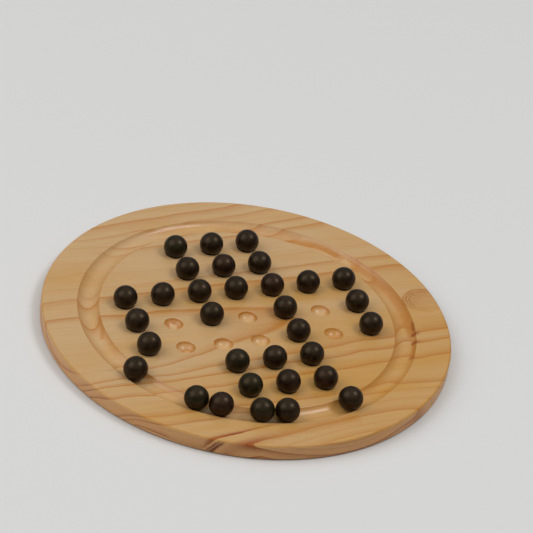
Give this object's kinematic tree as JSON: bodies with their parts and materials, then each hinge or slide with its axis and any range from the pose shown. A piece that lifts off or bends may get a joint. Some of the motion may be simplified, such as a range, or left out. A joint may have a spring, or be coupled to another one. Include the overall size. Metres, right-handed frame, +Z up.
{
  "type": "marble solitaire board",
  "caption": "Round pine peg-solitaire board with a cross of shallow seats, a coved rim groove for captured pieces, and dark marbles laid out mid-game.",
  "frame": {"origin": "centre of the board's underside", "axes": "+Z up out of the playing face; +X to the right along the rows of seats; +Y away from the player, towards row a"},
  "size_m": [0.244, 0.244, 0.0219],
  "materials": {
    "board_wood": "clear satin lacquer over pine",
    "marble": "opaque dark brown, satin"
  },
  "bodies": {
    "board": {"board": "board_wood"},
    "marble_a3": {"marble_a3": "marble"},
    "marble_a4": {"marble_a4": "marble"},
    "marble_a5": {"marble_a5": "marble"},
    "marble_b3": {"marble_b3": "marble"},
    "marble_b4": {"marble_b4": "marble"},
    "marble_b5": {"marble_b5": "marble"},
    "marble_c1": {"marble_c1": "marble"},
    "marble_c2": {"marble_c2": "marble"},
    "marble_c3": {"marble_c3": "marble"},
    "marble_c4": {"marble_c4": "marble"},
    "marble_c5": {"marble_c5": "marble"},
    "marble_c6": {"marble_c6": "marble"},
    "marble_c7": {"marble_c7": "marble"},
    "marble_d1": {"marble_d1": "marble"},
    "marble_d3": {"marble_d3": "marble"},
    "marble_d5": {"marble_d5": "marble"},
    "marble_d7": {"marble_d7": "marble"},
    "marble_e1": {"marble_e1": "marble"},
    "marble_e5": {"marble_e5": "marble"},
    "marble_e7": {"marble_e7": "marble"},
    "marble_f3": {"marble_f3": "marble"},
    "marble_f4": {"marble_f4": "marble"},
    "marble_f5": {"marble_f5": "marble"},
    "marble_g3": {"marble_g3": "marble"},
    "marble_g4": {"marble_g4": "marble"},
    "marble_g5": {"marble_g5": "marble"},
    "captured_marble_1": {"captured_marble_1": "marble"},
    "captured_marble_2": {"captured_marble_2": "marble"},
    "captured_marble_3": {"captured_marble_3": "marble"},
    "captured_marble_4": {"captured_marble_4": "marble"},
    "captured_marble_5": {"captured_marble_5": "marble"},
    "captured_marble_6": {"captured_marble_6": "marble"}
  },
  "joints": [
    {"name": "marble_a3_lift", "type": "slide", "parent": "board", "child": "marble_a3", "axis": [0, 0, 1], "range_m": [0, 0.025]},
    {"name": "marble_a4_lift", "type": "slide", "parent": "board", "child": "marble_a4", "axis": [0, 0, 1], "range_m": [0, 0.025]},
    {"name": "marble_a5_lift", "type": "slide", "parent": "board", "child": "marble_a5", "axis": [0, 0, 1], "range_m": [0, 0.025]},
    {"name": "marble_b3_lift", "type": "slide", "parent": "board", "child": "marble_b3", "axis": [0, 0, 1], "range_m": [0, 0.025]},
    {"name": "marble_b4_lift", "type": "slide", "parent": "board", "child": "marble_b4", "axis": [0, 0, 1], "range_m": [0, 0.025]},
    {"name": "marble_b5_lift", "type": "slide", "parent": "board", "child": "marble_b5", "axis": [0, 0, 1], "range_m": [0, 0.025]},
    {"name": "marble_c1_lift", "type": "slide", "parent": "board", "child": "marble_c1", "axis": [0, 0, 1], "range_m": [0, 0.025]},
    {"name": "marble_c2_lift", "type": "slide", "parent": "board", "child": "marble_c2", "axis": [0, 0, 1], "range_m": [0, 0.025]},
    {"name": "marble_c3_lift", "type": "slide", "parent": "board", "child": "marble_c3", "axis": [0, 0, 1], "range_m": [0, 0.025]},
    {"name": "marble_c4_lift", "type": "slide", "parent": "board", "child": "marble_c4", "axis": [0, 0, 1], "range_m": [0, 0.025]},
    {"name": "marble_c5_lift", "type": "slide", "parent": "board", "child": "marble_c5", "axis": [0, 0, 1], "range_m": [0, 0.025]},
    {"name": "marble_c6_lift", "type": "slide", "parent": "board", "child": "marble_c6", "axis": [0, 0, 1], "range_m": [0, 0.025]},
    {"name": "marble_c7_lift", "type": "slide", "parent": "board", "child": "marble_c7", "axis": [0, 0, 1], "range_m": [0, 0.025]},
    {"name": "marble_d1_lift", "type": "slide", "parent": "board", "child": "marble_d1", "axis": [0, 0, 1], "range_m": [0, 0.025]},
    {"name": "marble_d3_lift", "type": "slide", "parent": "board", "child": "marble_d3", "axis": [0, 0, 1], "range_m": [0, 0.025]},
    {"name": "marble_d5_lift", "type": "slide", "parent": "board", "child": "marble_d5", "axis": [0, 0, 1], "range_m": [0, 0.025]},
    {"name": "marble_d7_lift", "type": "slide", "parent": "board", "child": "marble_d7", "axis": [0, 0, 1], "range_m": [0, 0.025]},
    {"name": "marble_e1_lift", "type": "slide", "parent": "board", "child": "marble_e1", "axis": [0, 0, 1], "range_m": [0, 0.025]},
    {"name": "marble_e5_lift", "type": "slide", "parent": "board", "child": "marble_e5", "axis": [0, 0, 1], "range_m": [0, 0.025]},
    {"name": "marble_e7_lift", "type": "slide", "parent": "board", "child": "marble_e7", "axis": [0, 0, 1], "range_m": [0, 0.025]},
    {"name": "marble_f3_lift", "type": "slide", "parent": "board", "child": "marble_f3", "axis": [0, 0, 1], "range_m": [0, 0.025]},
    {"name": "marble_f4_lift", "type": "slide", "parent": "board", "child": "marble_f4", "axis": [0, 0, 1], "range_m": [0, 0.025]},
    {"name": "marble_f5_lift", "type": "slide", "parent": "board", "child": "marble_f5", "axis": [0, 0, 1], "range_m": [0, 0.025]},
    {"name": "marble_g3_lift", "type": "slide", "parent": "board", "child": "marble_g3", "axis": [0, 0, 1], "range_m": [0, 0.025]},
    {"name": "marble_g4_lift", "type": "slide", "parent": "board", "child": "marble_g4", "axis": [0, 0, 1], "range_m": [0, 0.025]},
    {"name": "marble_g5_lift", "type": "slide", "parent": "board", "child": "marble_g5", "axis": [0, 0, 1], "range_m": [0, 0.025]},
    {"name": "captured_marble_1_roll", "type": "hinge", "parent": "board", "child": "captured_marble_1", "pos_m": [0, 0, 0], "axis": [0, 0, 1], "range_deg": [-134.7, 8]},
    {"name": "captured_marble_2_roll", "type": "hinge", "parent": "board", "child": "captured_marble_2", "pos_m": [0, 0, 0], "axis": [0, 0, 1], "range_deg": [-8, 0]},
    {"name": "captured_marble_3_roll", "type": "hinge", "parent": "board", "child": "captured_marble_3", "pos_m": [0, 0, 0], "axis": [0, 0, 1], "range_deg": [0, 2.6]},
    {"name": "captured_marble_4_roll", "type": "hinge", "parent": "board", "child": "captured_marble_4", "pos_m": [0, 0, 0], "axis": [0, 0, 1], "range_deg": [-2.6, 0]},
    {"name": "captured_marble_5_roll", "type": "hinge", "parent": "board", "child": "captured_marble_5", "pos_m": [0, 0, 0], "axis": [0, 0, 1], "range_deg": [0, 8]},
    {"name": "captured_marble_6_roll", "type": "hinge", "parent": "board", "child": "captured_marble_6", "pos_m": [0, 0, 0], "axis": [0, 0, 1], "range_deg": [-8, 134.7]}
  ]
}
